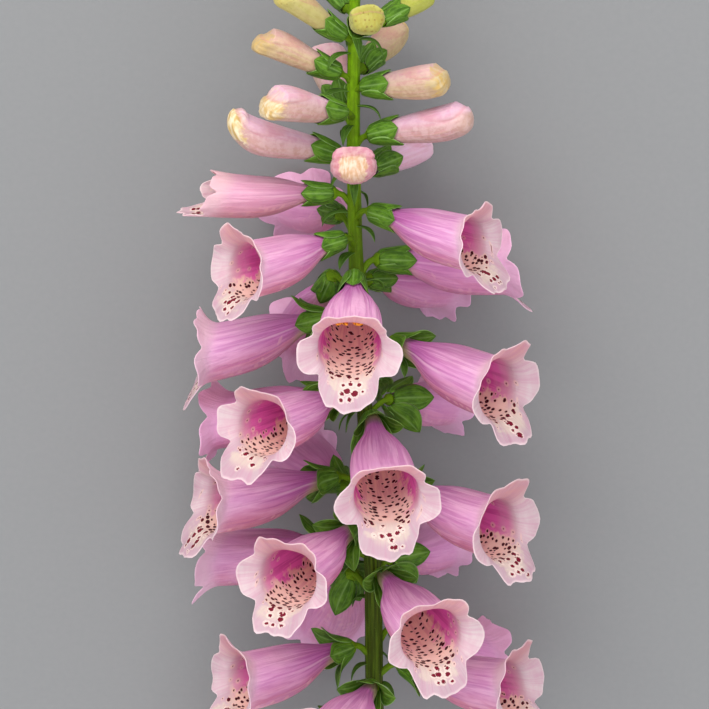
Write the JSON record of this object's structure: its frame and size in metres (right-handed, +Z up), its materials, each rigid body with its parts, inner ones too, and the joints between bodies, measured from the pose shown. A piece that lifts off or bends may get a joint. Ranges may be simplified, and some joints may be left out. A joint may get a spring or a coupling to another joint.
{
  "type": "foxglove flower spike",
  "caption": "Cut foxglove spike lying on its rear flowers: tubular speckled bells on a leafless green stem, opening below closed cream and green buds towards the tip.",
  "frame": {"origin": "middle of the spike's box in plan, on the surface that it lies on", "axes": "+Y along the stem towards its tip, +Z up from the surface, +X to the right when the spike is seen from above with its tip away from the viewer"},
  "size_m": [0.1504, 0.4708, 0.1224],
  "materials": {
    "petal_pink": "thin soft petal, pale pink-purple with darker veins and maroon spots inside",
    "bud_cream": "soft closed petals, cream and salmon pink",
    "stem_green": "soft green stem, sepals and bracts with fine hairs"
  },
  "bodies": {
    "root": {"leafy_stem": "stem_green", "corolla_01": "petal_pink", "corolla_02": "petal_pink", "corolla_03": "petal_pink", "corolla_04": "petal_pink", "corolla_05": "petal_pink", "corolla_06": "petal_pink", "corolla_07": "petal_pink", "corolla_08": "petal_pink", "corolla_09": "petal_pink", "corolla_10": "petal_pink", "corolla_11": "petal_pink", "corolla_12": "petal_pink", "corolla_13": "petal_pink", "corolla_14": "petal_pink", "corolla_15": "petal_pink", "corolla_16": "petal_pink", "corolla_17": "petal_pink", "corolla_18": "petal_pink", "corolla_19": "petal_pink", "corolla_20": "petal_pink", "corolla_21": "petal_pink", "corolla_22": "petal_pink", "corolla_23": "petal_pink", "corolla_24": "petal_pink", "corolla_25": "petal_pink", "corolla_26": "petal_pink", "corolla_27": "petal_pink", "bud_01": "bud_cream", "bud_02": "bud_cream", "bud_03": "bud_cream", "bud_04": "bud_cream", "bud_05": "bud_cream", "bud_06": "bud_cream", "bud_07": "bud_cream", "bud_08": "bud_cream", "bud_09": "bud_cream", "bud_10": "bud_cream", "bud_11": "bud_cream", "bud_12": "bud_cream", "bud_13": "bud_cream"}
  },
  "joints": []
}
